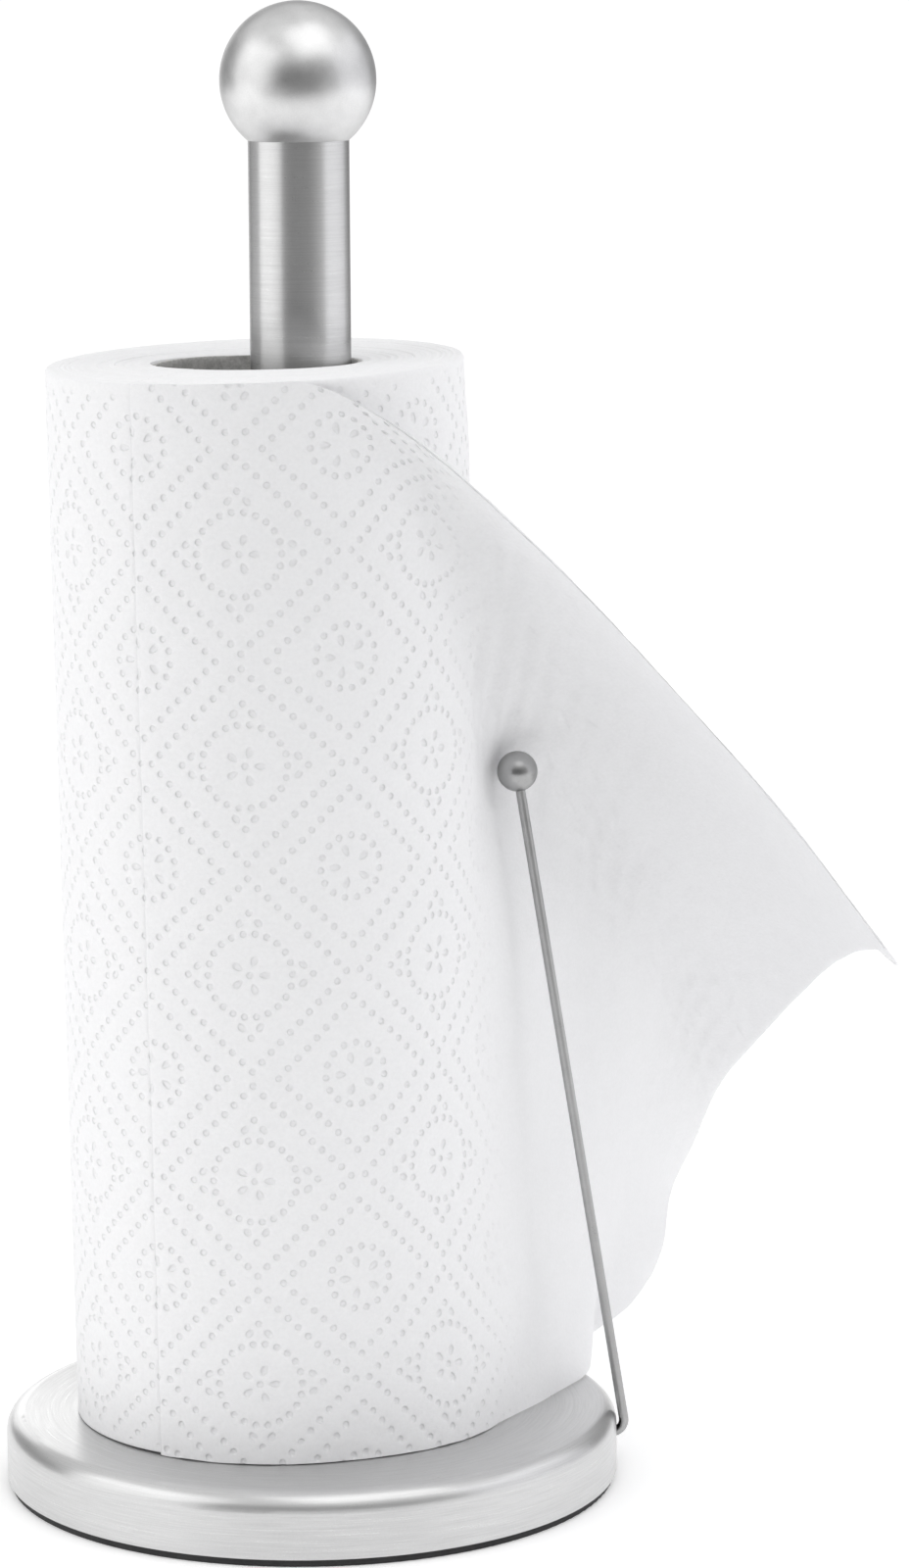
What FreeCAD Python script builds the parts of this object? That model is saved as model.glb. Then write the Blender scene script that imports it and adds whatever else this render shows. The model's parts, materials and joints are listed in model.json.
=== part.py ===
import FreeCAD, Part
import math
import os

import Sketcher

# Paper towel holder: a weighted round base, a tube with a ball on top, a sprung arm that leans
# on the paper, and a kitchen roll. Millimetres, +Z up, origin on the table under the post's axis.
# The arm leaves the base towards +X, and the user faces the holder from -Y.

DIMENSIONS = {
    # base
    "base_radius": 78.0,
    "base_top": 18.2,
    "base_edge": 4.7,
    "cover_wall": 0.8,
    "pad_radius": 77.2,
    "pad_thick": 2.0,
    "pad_edge": 0.4,
    "plate_radius": 76.9,
    "plate_thick": 3.0,
    "ballast_radius": 75.0,
    "ballast_chamfer": 3.6,
    "screw_circle": 55.0,
    "screw_radius": 1.95,
    "screw_head": 3.6,
    "head_thick": 1.8,
    "screw_length": 9.0,
    "screw_play": 0.05,
    "screw_room": 0.2,
    "screw_tip_room": 1.0,
    # rod through the post
    "rod_radius": 3.0,
    "rod_low": 5.6,
    "rod_top": 350.0,
    "rod_play": 0.1,
    "rod_chamfer": 0.6,
    "thread_play": 0.02,
    "nut_flats": 5.0,
    "nut_thick": 5.0,
    "washer_radius": 9.0,
    "washer_thick": 1.4,
    "nut_pocket": 11.0,
    "nut_room": 1.0,
    # post
    "post_radius": 12.5,
    "post_wall": 1.0,
    "post_top": 339.3,
    "foot_plug_length": 20.0,
    "top_plug_length": 14.0,
    "plug_play": 0.05,
    "plug_chamfer": 1.5,
    "ball_radius": 19.3,
    "ball_wall": 1.2,
    "boss_radius": 8.4,
    "boss_length": 13.0,
    "boss_play": 0.05,
    "boss_spare": 0.5,
    # arm and its pivot
    "pivot_offset": 70.0,
    "pivot_level": 9.8,
    "pin_radius": 1.5,
    "pin_head": 2.6,
    "pin_groove": 1.1,
    "pin_play": 0.05,
    "pin_tip": 1.0,
    "pin_neck": 0.8,
    "pin_end_play": 0.3,
    "pin_head_thick": 1.2,
    "clip_radius": 2.9,
    "clip_thick": 0.6,
    "clip_gap": 0.8,
    "clip_play": 0.05,
    "hub_radius": 3.2,
    "hub_back": 3.0,
    "hub_front": 8.0,
    "wire_radius": 1.22,
    "wire_root": 1.9,
    "wire_reach": 6.7,
    "bend_radius": 3.2,
    "arm_lean": 9.0,
    "arm_length": 170.4,
    "arm_ball": 5.1,
    "ball_socket": 2.5,
    "slot_half": 2.0,
    "slot_low": 6.7,
    "slot_high": 13.2,
    "bracket_wall": 1.2,
    "bracket_half": 9.5,
    "ear_half": 3.5,
    "ear_top": 13.4,
    "bracket_back": 11.5,
    "notch_back": 12.5,
    "notch_half": 13.0,
    "rivet_back": 8.5,
    "rivet_side": 5.0,
    "rivet_radius": 1.25,
    "rivet_head": 2.4,
    "rivet_head_thick": 1.4,
    "rivet_grip": 2.2,
    "rivet_room": 0.1,
    "spring_wire": 0.35,
    "spring_coil": 2.55,
    "spring_turns": 5.0,
    "spring_pitch": 0.8,
    "spring_leg": 4.2,
    "spring_start": -7.8,
    # kitchen roll
    "roll_radius": 52.6,
    "roll_height": 265.5,
    "roll_offset": -7.4,
    "roll_foot": 19.25,
    "roll_lean": 0.77,
    "core_bore": 25.0,
    "core_wall": 1.0,
    "core_play": 0.1,
    "sheet_radius": 53.15,
    "sheet_thick": 0.4,
}

PARTS = []

document = FreeCAD.newDocument("PaperTowelHolder")
sheet = document.addObject("Spreadsheet::Sheet", "Dims")
for row, (alias, number) in enumerate(DIMENSIONS.items(), start=1):
    sheet.set("A%d" % row, alias)
    sheet.set("B%d" % row, str(number))
    sheet.setAlias("B%d" % row, alias)
document.recompute()


def value(expression):
    """Number that an expression of the sheet's cells gives, in millimetres or degrees."""
    result = sheet.evalExpression(expression)
    return float(getattr(result, "Value", result))


def finish_part(item, label):
    """Name a finished sub-part and put it on the list of parts to write."""
    item.Label = label
    PARTS.append(item)
    return item


def new_body(label, level="0", across="0", along="0"):
    """Body for one sub-part, raised to its level above the table and set out from the post."""
    body = document.addObject("PartDesign::Body", "body_" + label)
    body.setExpression("Placement.Base.x", across)
    body.setExpression("Placement.Base.y", along)
    body.setExpression("Placement.Base.z", level)
    return finish_part(body, label)


def turn_to_y(body):
    """Lay a body down so that its own Z axis points along +Y."""
    body.Placement.Rotation = FreeCAD.Rotation(FreeCAD.Vector(1, 0, 0), -90)


def new_sketch(body, name, role, lift="0"):
    """Sketch on one of the body's own origin planes, lifted along the plane's normal."""
    sketch = body.newObject("Sketcher::SketchObject", body.Label + "_" + name)
    plane = [f for f in body.Origin.OriginFeatures if f.Role == role][0]
    sketch.AttachmentSupport = [(plane, "")]
    sketch.MapMode = "FlatFace"
    sketch.setExpression("AttachmentOffset.Base.z", lift)
    return sketch


def bind(sketch, constraint, name, expression):
    """Add a named driving constraint whose value follows the sheet."""
    index = sketch.addConstraint(constraint)
    sketch.renameConstraint(index, name)
    sketch.setExpression("Constraints." + name, expression)


def add_circle(sketch, name, radius, across="0", up="0"):
    """Circle with its radius and centre bound to the sheet."""
    centre = FreeCAD.Vector(value(across), value(up), 0)
    circle = Part.Circle(centre, FreeCAD.Vector(0, 0, 1), value(radius))
    index = sketch.addGeometry(circle, False)
    bind(sketch, Sketcher.Constraint("Radius", index, value(radius)), name + "_radius", radius)
    if across == "0" and up == "0":
        sketch.addConstraint(Sketcher.Constraint("Coincident", index, 3, -1, 1))
        return
    across_rule = Sketcher.Constraint("DistanceX", -1, 1, index, 3, centre.x)
    bind(sketch, across_rule, name + "_across", across)
    up_rule = Sketcher.Constraint("DistanceY", -1, 1, index, 3, centre.y)
    bind(sketch, up_rule, name + "_up", up)


def add_rectangle(sketch, name, left, low, right, high):
    """Upright rectangle whose two opposite corners are bound to the sheet."""
    x0, y0, x1, y1 = value(left), value(low), value(right), value(high)
    corners = [FreeCAD.Vector(x, y, 0) for x, y in ((x0, y0), (x1, y0), (x1, y1), (x0, y1))]
    lines = []
    for start, end in zip(corners, corners[1:] + corners[:1]):
        lines.append(sketch.addGeometry(Part.LineSegment(start, end), False))
    for number, line in enumerate(lines):
        following = lines[(number + 1) % 4]
        sketch.addConstraint(Sketcher.Constraint("Coincident", line, 2, following, 1))
        kind = "Horizontal" if number % 2 == 0 else "Vertical"
        sketch.addConstraint(Sketcher.Constraint(kind, line))
    bind(sketch, Sketcher.Constraint("DistanceX", -1, 1, lines[0], 1, x0), name + "_left", left)
    bind(sketch, Sketcher.Constraint("DistanceY", -1, 1, lines[0], 1, y0), name + "_low", low)
    bind(sketch, Sketcher.Constraint("DistanceX", -1, 1, lines[2], 1, x1), name + "_right", right)
    bind(sketch, Sketcher.Constraint("DistanceY", -1, 1, lines[2], 1, y1), name + "_high", high)


def pad(body, sketch, length):
    """Grow a sketch along its normal."""
    feature = body.newObject("PartDesign::Pad", sketch.Label + "_pad")
    feature.Profile = sketch
    feature.setExpression("Length", length)
    document.recompute()
    return feature


def pocket(body, sketch, length=None):
    """Cut a sketch along its normal, by a length or right through, and see that it cuts."""
    before = body.Shape.Volume
    feature = body.newObject("PartDesign::Pocket", sketch.Label + "_pocket")
    feature.Profile = sketch
    feature.Reversed = True
    if length is None:
        feature.Type = 1
    else:
        feature.setExpression("Length", length)
    document.recompute()
    if body.Shape.Volume > before - 0.01:
        raise RuntimeError(sketch.Label + " cuts nothing")
    return feature


def polar(body, feature, copies):
    """Repeat a feature round the body's Z axis."""
    axis = [f for f in body.Origin.OriginFeatures if f.Role == "Z_Axis"][0]
    pattern = body.newObject("PartDesign::PolarPattern", feature.Label + "_pattern")
    pattern.Originals = [feature]
    pattern.Axis = (axis, [""])
    pattern.Angle = 360
    pattern.Occurrences = copies
    body.Tip = pattern
    document.recompute()
    return pattern


def rim_edges(feature, radius, level):
    """Names of the circular edges of that radius at that height in the body."""
    names = []
    for number, edge in enumerate(feature.Shape.Edges, start=1):
        if not isinstance(edge.Curve, Part.Circle):
            continue
        same_radius = abs(edge.Curve.Radius - radius) < 0.01
        if same_radius and abs(edge.Curve.Center.z - level) < 0.01:
            names.append("Edge%d" % number)
    return names


def break_edge(body, kind, feature, radius, level, size):
    """Fillet or chamfer one rim of a round body, given in the body's own heights."""
    dressed = body.newObject("PartDesign::" + kind, body.Label + "_" + kind.lower())
    dressed.Base = (feature, rim_edges(feature, value(radius), value(level)))
    dressed.setExpression("Radius" if kind == "Fillet" else "Size", size)
    document.recompute()
    return dressed


def round_body(label, level, height, radius, bore=None, **place):
    """Disc, rod or ring on the body's own Z axis."""
    body = new_body(label, level, **place)
    sketch = new_sketch(body, "outline", "XY_Plane")
    add_circle(sketch, "outer", radius)
    if bore:
        add_circle(sketch, "bore", bore)
    return body, pad(body, sketch, height)


# Base: pad, bottom plate, ballast and the pressed steel cover over them

def make_pad():
    body, disc = round_body("non_slip_pad", "0", "Dims.pad_thick", "Dims.pad_radius")
    break_edge(body, "Fillet", disc, "Dims.pad_radius", "0", "Dims.pad_edge")


def make_bottom_plate():
    body, disc = round_body("bottom_plate", "Dims.pad_thick", "Dims.plate_thick", "Dims.plate_radius")
    where = "Dims.screw_circle * cos(45)"
    for name, radius, depth in (
        ("screw_hole", "Dims.screw_radius + Dims.screw_room", None),
        ("screw_seat", "Dims.screw_head + Dims.screw_room", "Dims.head_thick"),
    ):
        sketch = new_sketch(body, name, "XY_Plane")
        add_circle(sketch, name, radius, where, where)
        cut = pocket(body, sketch, depth)
        polar(body, cut, 4)
    pilots = new_sketch(body, "pilot_holes", "XY_Plane")
    back = "Dims.pivot_offset - Dims.rivet_back"
    for name, side in (("near", "-Dims.rivet_side"), ("far", "Dims.rivet_side")):
        add_circle(pilots, name, "Dims.rivet_radius + Dims.screw_play", back, side)
    pocket(body, pilots)


def make_ballast():
    level = "Dims.pad_thick + Dims.plate_thick"
    height = "Dims.base_top - Dims.cover_wall - Dims.pad_thick - Dims.plate_thick"
    body, disc = round_body("ballast_disc", level, height, "Dims.ballast_radius")
    break_edge(body, "Chamfer", disc, "Dims.ballast_radius", height, "Dims.ballast_chamfer")
    rod_hole = new_sketch(body, "rod_hole", "XY_Plane")
    add_circle(rod_hole, "rod_hole", "Dims.rod_radius + Dims.rod_play")
    pocket(body, rod_hole)
    nut_pocket = new_sketch(body, "nut_pocket", "XY_Plane")
    add_circle(nut_pocket, "nut_pocket", "Dims.nut_pocket")
    pocket(body, nut_pocket, "Dims.nut_thick + Dims.washer_thick + Dims.nut_room")
    notch = new_sketch(body, "arm_notch", "XY_Plane")
    low, high = "Dims.pivot_offset - Dims.notch_back", "Dims.base_radius"
    add_rectangle(notch, "notch", low, "-Dims.notch_half", high, "Dims.notch_half")
    pocket(body, notch)
    tapped = new_sketch(body, "tapped_hole", "XY_Plane")
    where = "Dims.screw_circle * cos(45)"
    add_circle(tapped, "tapped", "Dims.screw_radius + Dims.screw_play", where, where)
    polar(body, pocket(body, tapped, "Dims.screw_length"), 4)


def make_cover():
    body = new_body("base_cover", "Dims.pad_thick")
    outline = new_sketch(body, "outline", "XY_Plane")
    add_circle(outline, "outer", "Dims.base_radius")
    height = "Dims.base_top - Dims.pad_thick"
    disc = pad(body, outline, height)
    rounded = break_edge(body, "Fillet", disc, "Dims.base_radius", height, "Dims.base_edge")
    shell = body.newObject("PartDesign::Thickness", "base_cover_shell")
    lowest = min(range(len(rounded.Shape.Faces)), key=lambda i: rounded.Shape.Faces[i].CenterOfMass.z)
    shell.Base = (rounded, ["Face%d" % (lowest + 1)])
    shell.Reversed = True
    shell.setExpression("Value", "Dims.cover_wall")
    document.recompute()
    hole = new_sketch(body, "rod_hole", "XY_Plane")
    add_circle(hole, "rod_hole", "Dims.rod_radius + Dims.rod_play")
    pocket(body, hole)
    slot = new_sketch(body, "arm_slot", "YZ_Plane", "Dims.pivot_offset")
    low, high = "Dims.slot_low - Dims.pad_thick", "Dims.slot_high - Dims.pad_thick"
    add_rectangle(slot, "slot", "-Dims.slot_half", low, "Dims.slot_half", high)
    pocket(body, slot, "Dims.base_radius - Dims.pivot_offset + 2")


def make_screw_group(label, places, seat, radius, head, thick, length, points_up):
    """Pan head screws standing on their seats, as one node of separate solids."""
    solids = []
    way = 1 if points_up else -1
    for number, (x, y) in enumerate(places):
        shank = document.addObject("Part::Cylinder", "%s_shank_%d" % (label, number))
        cap = document.addObject("Part::Cylinder", "%s_head_%d" % (label, number))
        for item, size in ((shank, radius), (cap, head)):
            item.setExpression("Radius", size)
            item.setExpression("Placement.Base.x", x)
            item.setExpression("Placement.Base.y", y)
        shank.setExpression("Height", length)
        cap.setExpression("Height", thick)
        below = "(%s) - (%s)" % (seat, length)
        under_head = "(%s) - (%s)" % (seat, thick)
        shank.setExpression("Placement.Base.z", seat if way > 0 else below)
        cap.setExpression("Placement.Base.z", under_head if way > 0 else seat)
        screw = document.addObject("Part::Fuse", "%s_%d" % (label, number))
        screw.Base, screw.Tool = shank, cap
        solids.append(screw)
    group = document.addObject("Part::Compound", label)
    group.Links = solids
    finish_part(group, label)


def make_screws():
    across = "Dims.screw_circle * cos(45)"
    places = [(a + across, b + across) for a in ("", "-") for b in ("", "-")]
    seat = "Dims.pad_thick + Dims.head_thick"
    reach = "Dims.screw_length + Dims.plate_thick - Dims.head_thick - Dims.screw_tip_room"
    sizes = ("Dims.screw_radius", "Dims.screw_head", "Dims.head_thick", reach)
    make_screw_group("base_screws", places, seat, *sizes, points_up=True)
    back = "Dims.pivot_offset - Dims.rivet_back"
    places = [(back, "Dims.rivet_side"), (back, "-Dims.rivet_side")]
    flange = "Dims.pad_thick + Dims.plate_thick + Dims.bracket_wall"
    reach = "Dims.bracket_wall + Dims.rivet_grip"
    sizes = ("Dims.rivet_radius", "Dims.rivet_head", "Dims.rivet_head_thick", reach)
    make_screw_group("bracket_screws", places, flange, *sizes, points_up=False)


# Post: tube, its two plugs, the rod through it, and the hollow ball on top

def make_post():
    tall = "Dims.post_top - Dims.base_top"
    inside = "Dims.post_radius - Dims.post_wall"
    round_body("post_tube", "Dims.base_top", tall, "Dims.post_radius", inside)
    plug = inside + " - Dims.plug_play"
    rod_hole = "Dims.rod_radius + Dims.rod_play"
    body, foot = round_body("post_foot_plug", "Dims.base_top", "Dims.foot_plug_length", plug, rod_hole)
    break_edge(body, "Chamfer", foot, plug, "Dims.foot_plug_length", "Dims.plug_chamfer")
    low = "Dims.post_top - Dims.top_plug_length"
    body, top = round_body("post_top_plug", low, "Dims.top_plug_length", plug, rod_hole)
    break_edge(body, "Chamfer", top, plug, "0", "Dims.plug_chamfer")


def make_rod():
    length = "Dims.rod_top - Dims.rod_low"
    body, rod = round_body("tie_rod", "Dims.rod_low", length, "Dims.rod_radius")
    break_edge(body, "Chamfer", rod, "Dims.rod_radius", length, "Dims.rod_chamfer")
    base_bottom = "Dims.pad_thick + Dims.plate_thick + Dims.nut_room"
    hexagon = document.addObject("Part::Prism", "nut_hexagon")
    hexagon.Polygon = 6
    hexagon.setExpression("Circumradius", "Dims.nut_flats / cos(30)")
    hexagon.setExpression("Height", "Dims.nut_thick")
    bore = document.addObject("Part::Cylinder", "nut_bore")
    bore.setExpression("Radius", "Dims.rod_radius + Dims.thread_play")
    bore.setExpression("Height", "Dims.nut_thick")
    nut = document.addObject("Part::Cut", "rod_nut")
    nut.Base, nut.Tool = hexagon, bore
    nut.setExpression("Placement.Base.z", base_bottom)
    finish_part(nut, "rod_nut")
    washer_level = base_bottom + " + Dims.nut_thick"
    washer_hole = "Dims.rod_radius + Dims.rod_play"
    round_body("rod_washer", washer_level, "Dims.washer_thick", "Dims.washer_radius", washer_hole)


def make_finial():
    """Hollow ball, cut flat where it sits on the tube, with a threaded boss let into it."""
    drop = "sqrt(Dims.ball_radius ^ 2 - Dims.post_radius ^ 2)"
    centre = "Dims.post_top + " + drop
    outside = document.addObject("Part::Sphere", "finial_outside")
    outside.setExpression("Radius", "Dims.ball_radius")
    outside.setExpression("Angle1", "-acos(Dims.post_radius / Dims.ball_radius)")
    outside.setExpression("Placement.Base.z", centre)
    inside = document.addObject("Part::Sphere", "finial_inside")
    inside.setExpression("Radius", "Dims.ball_radius - Dims.ball_wall")
    floor = "(" + drop + " - Dims.ball_wall) / (Dims.ball_radius - Dims.ball_wall)"
    inside.setExpression("Angle1", "-asin(" + floor + ")")
    inside.setExpression("Placement.Base.z", centre)
    hollow = document.addObject("Part::Cut", "finial_shell")
    hollow.Base, hollow.Tool = outside, inside
    mouth = document.addObject("Part::Cylinder", "finial_mouth")
    mouth.setExpression("Radius", "Dims.boss_radius + Dims.boss_play")
    mouth.setExpression("Height", "2 * Dims.ball_wall")
    mouth.setExpression("Placement.Base.z", "Dims.post_top - Dims.ball_wall / 2")
    ball = document.addObject("Part::Cut", "finial_ball")
    ball.Base, ball.Tool = hollow, mouth
    finish_part(ball, "finial_ball")
    bore = "Dims.rod_radius + Dims.thread_play"
    body, boss = round_body("finial_boss", "Dims.post_top", "Dims.boss_length", "Dims.boss_radius")
    thread = new_sketch(body, "thread", "XY_Plane")
    add_circle(thread, "thread", bore)
    pocket(body, thread, "Dims.rod_top - Dims.post_top + Dims.boss_spare")


# Arm: bracket, pin, clip and spring inside the base; hub, bent wire and ball that swing

def make_bracket():
    level = "Dims.pad_thick + Dims.plate_thick"
    body = new_body("arm_bracket", level, "Dims.pivot_offset")
    flange = new_sketch(body, "flange", "XY_Plane")
    back, front, half = "-Dims.bracket_back", "Dims.ear_half", "Dims.bracket_half"
    add_rectangle(flange, "flange", back, "-" + half, front, half)
    pad(body, flange, "Dims.bracket_wall")
    ears = new_sketch(body, "ears", "XY_Plane")
    inner = "(Dims.bracket_half - Dims.bracket_wall)"
    add_rectangle(ears, "near", "-Dims.ear_half", "-" + half, front, "-" + inner)
    add_rectangle(ears, "far", "-Dims.ear_half", inner, front, half)
    pad(body, ears, "Dims.ear_top - (%s)" % level)
    pin_hole = new_sketch(body, "pin_hole", "XZ_Plane", "-Dims.bracket_half - Dims.bracket_wall")
    up = "Dims.pivot_level - (%s)" % level
    add_circle(pin_hole, "pin_hole", "Dims.pin_radius + Dims.pin_play", "0.0 * Dims.ear_half", up)
    pocket(body, pin_hole)
    screws = new_sketch(body, "screw_holes", "XY_Plane")
    for name, side in (("near", "-Dims.rivet_side"), ("far", "Dims.rivet_side")):
        add_circle(screws, name, "Dims.rivet_radius + Dims.rivet_room", "-Dims.rivet_back", side)
    pocket(body, screws, "Dims.bracket_wall")


def make_pin():
    """Headed pin along Y, with a groove for its clip beyond the far ear."""
    beyond_ear = "Dims.pin_tip + Dims.pin_neck + Dims.pin_end_play"
    low = "-Dims.bracket_half - (%s)" % beyond_ear
    body = new_body("arm_pin", "Dims.pivot_level", "Dims.pivot_offset", low)
    turn_to_y(body)
    shank_from = "Dims.pin_tip + Dims.pin_neck"
    head_from = "2 * Dims.bracket_half + " + beyond_ear
    for name, start, length, radius in (
        ("tip", "0", "Dims.pin_tip", "Dims.pin_radius"),
        ("neck", "0", shank_from, "Dims.pin_groove"),
        ("shank", shank_from, "2 * Dims.bracket_half + Dims.pin_end_play", "Dims.pin_radius"),
        ("head", head_from, "Dims.pin_head_thick", "Dims.pin_head"),
    ):
        sketch = new_sketch(body, name, "XY_Plane", start)
        add_circle(sketch, name, radius)
        pad(body, sketch, length)
    clip_from = low + " + Dims.pin_tip + (Dims.pin_neck - Dims.clip_thick) / 2"
    clip = new_body("pin_clip", "Dims.pivot_level", "Dims.pivot_offset", clip_from)
    turn_to_y(clip)
    ring = new_sketch(clip, "ring", "XY_Plane")
    add_circle(ring, "outer", "Dims.clip_radius")
    add_circle(ring, "inner", "Dims.pin_groove + Dims.clip_play")
    pad(clip, ring, "Dims.clip_thick")
    gap = new_sketch(clip, "gap", "XY_Plane")
    add_rectangle(gap, "gap", "-Dims.clip_gap", "0.0 * Dims.clip_gap", "Dims.clip_gap",
                  "Dims.clip_radius + Dims.clip_gap")
    pocket(clip, gap)


def make_spring():
    """Torsion spring round the pin: close coils, one leg on the plate, one behind the wire."""
    wire = DIMENSIONS["spring_wire"]
    coil = DIMENSIONS["spring_coil"]
    tall = DIMENSIONS["spring_turns"] * DIMENSIONS["spring_pitch"]
    helix = Part.makeHelix(DIMENSIONS["spring_pitch"], tall, coil)
    start = Part.Circle(FreeCAD.Vector(coil, 0, 0), FreeCAD.Vector(0, 1, 0), wire)
    profile = Part.Wire([start.toShape()])
    coils = Part.Wire(helix.Edges).makePipeShell([profile], True, True)
    leg = DIMENSIONS["spring_leg"]
    moving = Part.makeCylinder(wire, leg, FreeCAD.Vector(coil, 0, tall), FreeCAD.Vector(0, -1, 0))
    fixed = Part.makeCylinder(wire, leg, FreeCAD.Vector(coil, 0, 0), FreeCAD.Vector(0, 1, 0))
    spring = document.addObject("Part::Feature", "arm_spring")
    spring.Shape = coils.fuse([moving, fixed]).removeSplitter()
    upright = FreeCAD.Rotation(FreeCAD.Vector(1, 0, 0), -90)
    half_turn = FreeCAD.Rotation(FreeCAD.Vector(0, 0, 1), 180)
    start_from = DIMENSIONS["spring_start"]
    place = FreeCAD.Vector(DIMENSIONS["pivot_offset"], start_from, DIMENSIONS["pivot_level"])
    spring.Placement = FreeCAD.Placement(place, upright.multiply(half_turn))
    finish_part(spring, "arm_spring")


def make_hub():
    length = "Dims.hub_back + Dims.hub_front"
    place = {"across": "Dims.pivot_offset", "along": "-Dims.hub_back"}
    bore = "Dims.pin_radius + Dims.pin_play"
    body, barrel = round_body("arm_hub", "Dims.pivot_level", length, "Dims.hub_radius", bore, **place)
    turn_to_y(body)
    socket = new_sketch(body, "wire_socket", "YZ_Plane", "Dims.wire_root")
    add_circle(socket, "socket", "Dims.wire_radius", "0.0 * Dims.hub_back", "Dims.hub_back")
    pocket(body, socket, "Dims.hub_radius")


def make_wire():
    """Bent rod: straight out of the hub, one tight bend outside the base, then the long lean."""
    body = new_body("arm_wire", "Dims.pivot_level", "Dims.pivot_offset")
    root, reach = value("Dims.wire_root"), value("Dims.wire_reach")
    bend, length = value("Dims.bend_radius"), value("Dims.arm_length - Dims.ball_socket")
    lean = math.radians(value("Dims.arm_lean"))
    path = new_sketch(body, "path", "XZ_Plane")
    centre = FreeCAD.Vector(reach, bend, 0)
    bend_end = centre + FreeCAD.Vector(math.cos(lean), math.sin(lean), 0) * bend
    tip = bend_end + FreeCAD.Vector(-math.sin(lean), math.cos(lean), 0) * length
    circle = Part.Circle(centre, FreeCAD.Vector(0, 0, 1), bend)
    foot = path.addGeometry(Part.LineSegment(FreeCAD.Vector(root, 0, 0), FreeCAD.Vector(reach, 0, 0)))
    turn = path.addGeometry(Part.ArcOfCircle(circle, -math.pi / 2, lean))
    rise = path.addGeometry(Part.LineSegment(bend_end, tip))
    path.addConstraint(Sketcher.Constraint("PointOnObject", foot, 1, -1))
    path.addConstraint(Sketcher.Constraint("Horizontal", foot))
    path.addConstraint(Sketcher.Constraint("Tangent", foot, 2, turn, 1))
    path.addConstraint(Sketcher.Constraint("Tangent", turn, 2, rise, 1))
    bind(path, Sketcher.Constraint("DistanceX", -1, 1, foot, 1, root), "root", "Dims.wire_root")
    bind(path, Sketcher.Constraint("DistanceX", -1, 1, foot, 2, reach), "reach", "Dims.wire_reach")
    bind(path, Sketcher.Constraint("Radius", turn, bend), "bend", "Dims.bend_radius")
    run = Sketcher.Constraint("Distance", rise, length)
    bind(path, run, "run", "Dims.arm_length - Dims.ball_socket")
    upright = math.radians(90) + lean
    bind(path, Sketcher.Constraint("Angle", rise, upright), "lean", "(90 + Dims.arm_lean) * 1 deg")
    section = new_sketch(body, "section", "YZ_Plane", "Dims.wire_root")
    add_circle(section, "section", "Dims.wire_radius")
    pipe = body.newObject("PartDesign::AdditivePipe", "arm_wire_pipe")
    pipe.Profile = section
    pipe.Spine = (path, ["Edge1", "Edge2", "Edge3"])
    document.recompute()


def make_arm_ball():
    """Solid ball on the wire's tip, bored to take the wire."""
    across = ("Dims.pivot_offset + Dims.wire_reach + Dims.bend_radius * cos(Dims.arm_lean)"
              " - Dims.arm_length * sin(Dims.arm_lean)")
    up = ("Dims.pivot_level + Dims.bend_radius * (1 + sin(Dims.arm_lean))"
          " + Dims.arm_length * cos(Dims.arm_lean)")
    ball = document.addObject("Part::Sphere", "arm_ball_solid")
    ball.setExpression("Radius", "Dims.arm_ball")
    socket = document.addObject("Part::Cylinder", "arm_ball_socket")
    socket.setExpression("Radius", "Dims.wire_radius")
    socket.setExpression("Height", "Dims.arm_ball")
    socket.Placement.Rotation = FreeCAD.Rotation(FreeCAD.Vector(1, 0, 0), 180)
    socket.setExpression("Placement.Base.z", "-Dims.ball_socket")
    bored = document.addObject("Part::Cut", "arm_ball")
    bored.Base, bored.Tool = ball, socket
    bored.Placement.Rotation = FreeCAD.Rotation(FreeCAD.Vector(0, 1, 0), -DIMENSIONS["arm_lean"])
    bored.setExpression("Placement.Base.x", across)
    bored.setExpression("Placement.Base.z", up)
    finish_part(bored, "arm_ball")


# Kitchen roll: it leans a little, because the arm pushes its core against the post

def lean_like_roll(body):
    body.Placement.Rotation = FreeCAD.Rotation(FreeCAD.Vector(0, 1, 0), -DIMENSIONS["roll_lean"])


def make_roll():
    core_outside = "Dims.core_bore + Dims.core_wall"
    sizes = {
        "roll_core": (core_outside, "Dims.core_bore"),
        "paper_roll": ("Dims.roll_radius", core_outside + " + Dims.core_play"),
    }
    for label, (outer, bore) in sizes.items():
        place = {"across": "Dims.roll_offset"}
        body, ring = round_body(label, "Dims.roll_foot", "Dims.roll_height", outer, bore, **place)
        lean_like_roll(body)


# Loose sheet: it starts at its perforation on the roll's front left, follows the roll, leaves it
# along a line that runs from the roll's top front to its lower right side, and hangs free.
# Each crosswise row of the free part is one cubic curve, and these are its points at five
# levels from the sheet's lower edge to its upper edge: how far the row runs on along the
# roll's tangent, its elbow, and its end on the torn edge.

PERFORATION_ANGLE = -123.5
ROW_LEADS = (38.0, 32.0, 30.0, 20.0, 25.0)
ROW_ELBOWS = ((62, -22, 19.5), (72, 44, 60), (84, 70, 120), (98, 30, 168), (94, -20, 208))
ROW_ENDS = ((94, 126, 17.5), (102, 150, 39), (114.5, 120, 76), (135, 60, 115.5), (151, 10, 129))


def through(points, share):
    """Smooth curve through evenly spaced points, at a share from 0 to 1 of the way."""
    spans = len(points) - 1
    span = min(int(share * spans), spans - 1)
    local = share * spans - span
    before, start = points[max(span - 1, 0)], points[span]
    end, after = points[span + 1], points[min(span + 2, spans)]
    if span == 0:
        before = start * 2 - end
    if span == spans - 1:
        after = end * 2 - start
    slope_in, slope_out = (end - before) * 0.5, (after - start) * 0.5
    square, cube = local ** 2, local ** 3
    return (start * (2 * cube - 3 * square + 1) + slope_in * (cube - 2 * square + local)
            + end * (3 * square - 2 * cube) + slope_out * (cube - square))


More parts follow.
